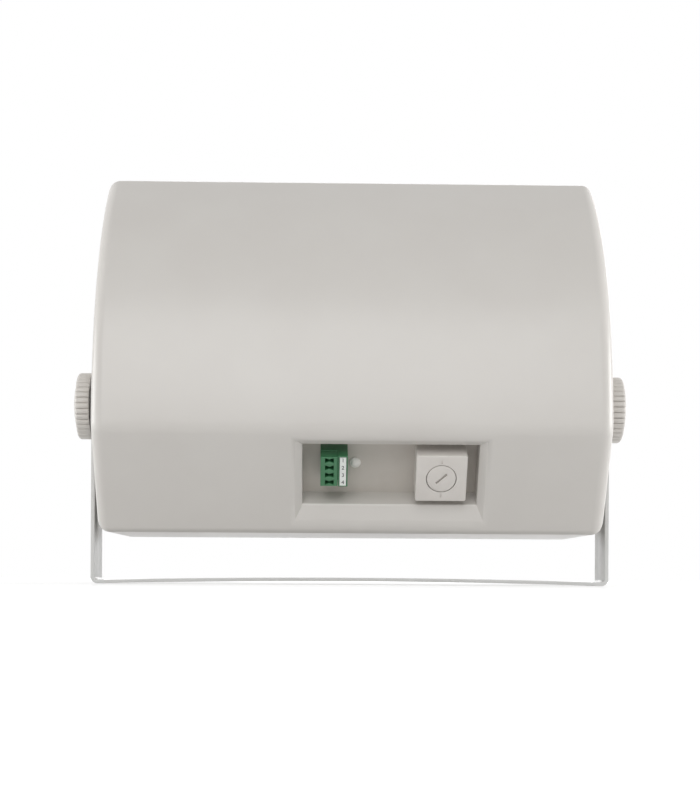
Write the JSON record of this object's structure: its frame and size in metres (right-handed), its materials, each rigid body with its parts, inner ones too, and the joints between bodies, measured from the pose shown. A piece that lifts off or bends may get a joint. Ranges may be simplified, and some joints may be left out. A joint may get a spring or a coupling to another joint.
{
  "type": "wall speaker",
  "caption": "Two-way cabinet loudspeaker with line transformer, hung in a tilting U-bracket by two fluted clamping knobs; terminals and tap selector in a rear recess.",
  "frame": {"origin": "on the underside of the bracket's strap at its middle, halfway between the two wall bolt holes", "axes": "+X along the cabinet's length and the pivot axis, +Y out through the grille, +Z from the strap up through the cabinet"},
  "size_m": [0.3602, 0.1638, 0.2652],
  "materials": {
    "bracket_paint": "fine-textured powder coat",
    "knob_plastic": "moulded, fluted",
    "zinc_steel": "bright zinc plate",
    "friction_rubber": "moulded",
    "insert_brass": "turned",
    "cabinet_plastic": "fine spark texture",
    "plate_plastic": "fine spark texture",
    "button_white": "smooth",
    "terminal_green": "moulded polyamide",
    "label_white": "bare marking strip",
    "selector_plastic": "smooth moulded",
    "black_plastic": "moulded",
    "gasket_foam": "cellular foam",
    "baffle_plastic": "moulded",
    "black_steel": "black paint",
    "grille_paint": "powder coat",
    "grille_cloth": "acoustic cloth",
    "surround_rubber": "moulded",
    "cone_paper": "pressed pulp",
    "spider_cloth": "impregnated cotton",
    "ferrite": "pressed ferrite",
    "dome_silk": "coated silk",
    "core_steel": "varnished laminations",
    "winding_copper": "enamelled copper wire",
    "board_laminate": "solder mask",
    "film_yellow": "wrapped film",
    "resistor_ceramic": "cement case",
    "wadding_fibre": "polyester fibre"
  },
  "bodies": {
    "bracket": {"bracket": "bracket_paint"},
    "cabinet": {"plate_screws": "zinc_steel", "transformer_clamp": "zinc_steel", "transformer_screws": "zinc_steel", "board_screws": "zinc_steel", "front_pole_plate": "zinc_steel", "rear_pole_plate": "zinc_steel", "left_friction_washer": "friction_rubber", "right_friction_washer": "friction_rubber", "left_insert": "insert_brass", "right_insert": "insert_brass", "rear_shell": "cabinet_plastic", "terminal_plate": "plate_plastic", "plate_button": "button_white", "terminal_socket": "terminal_green", "marking_strip": "label_white", "selector_housing": "selector_plastic", "tap_switch": "black_plastic", "tweeter_plate": "black_plastic", "gasket": "gasket_foam", "front_baffle": "baffle_plastic", "baffle_screws": "black_steel", "woofer_screws": "black_steel", "tweeter_screws": "black_steel", "woofer_basket": "black_steel", "surround": "surround_rubber", "spider": "spider_cloth", "magnet_ring": "ferrite", "tweeter_magnet": "ferrite", "tweeter_dome": "dome_silk", "transformer_core": "core_steel", "transformer_coil": "winding_copper", "inductor": "winding_copper", "crossover_board": "board_laminate", "capacitors": "film_yellow", "resistor": "resistor_ceramic", "wadding": "wadding_fibre"},
    "left_washer": {"left_washer": "zinc_steel"},
    "left_knob": {"left_knob": "knob_plastic", "left_stud": "zinc_steel"},
    "right_washer": {"right_washer": "zinc_steel"},
    "right_knob": {"right_knob": "knob_plastic", "right_stud": "zinc_steel"},
    "selector_dial": {"selector_dial": "selector_plastic"},
    "terminal_plug": {"terminal_plug": "terminal_green", "clamp_screws": "zinc_steel"},
    "grille": {"grille": "grille_paint", "grille_cloth": "grille_cloth"},
    "cone": {"cone": "cone_paper", "dust_cap": "cone_paper", "coil_former": "cone_paper"}
  },
  "joints": [
    {"name": "cabinet_tilt", "type": "hinge", "parent": "bracket", "child": "cabinet", "pos_m": [0, 0, 0.1133], "axis": [1, 0, 0], "range_deg": [-30, 140]},
    {"name": "left_knob_travel", "type": "slide", "parent": "cabinet", "child": "left_washer", "axis": [-1, 0, 0], "range_m": [0, 0.01375]},
    {"name": "left_knob_turn", "type": "hinge", "parent": "left_washer", "child": "left_knob", "pos_m": [0, 0, 0.1133], "axis": [-1, 0, 0], "range_deg": [0, 3960]},
    {"name": "right_knob_travel", "type": "slide", "parent": "cabinet", "child": "right_washer", "axis": [1, 0, 0], "range_m": [0, 0.01375]},
    {"name": "right_knob_turn", "type": "hinge", "parent": "right_washer", "child": "right_knob", "pos_m": [0, 0, 0.1133], "axis": [1, 0, 0], "range_deg": [0, 3960]},
    {"name": "selector_turn", "type": "hinge", "parent": "cabinet", "child": "selector_dial", "pos_m": [0.0553, -0.05983, 0.0633], "axis": [0, -0.8508, -0.5255], "range_deg": [-45, 105]},
    {"name": "plug_pull", "type": "slide", "parent": "cabinet", "child": "terminal_plug", "axis": [0, -0.8508, -0.5255], "range_m": [0, 0.012]},
    {"name": "grille_pull", "type": "slide", "parent": "cabinet", "child": "grille", "axis": [0, 1, 0], "range_m": [0, 0.016]},
    {"name": "cone_travel", "type": "slide", "parent": "cabinet", "child": "cone", "axis": [0, 1, 0], "range_m": [-0.003, 0.003], "stiffness_N_per_m": 1500}
  ],
  "couplings": [
    {"joint": "left_knob_turn", "follows": "left_knob_travel", "rad_per_m": 5026.5},
    {"joint": "right_knob_turn", "follows": "right_knob_travel", "rad_per_m": 5026.5}
  ]
}
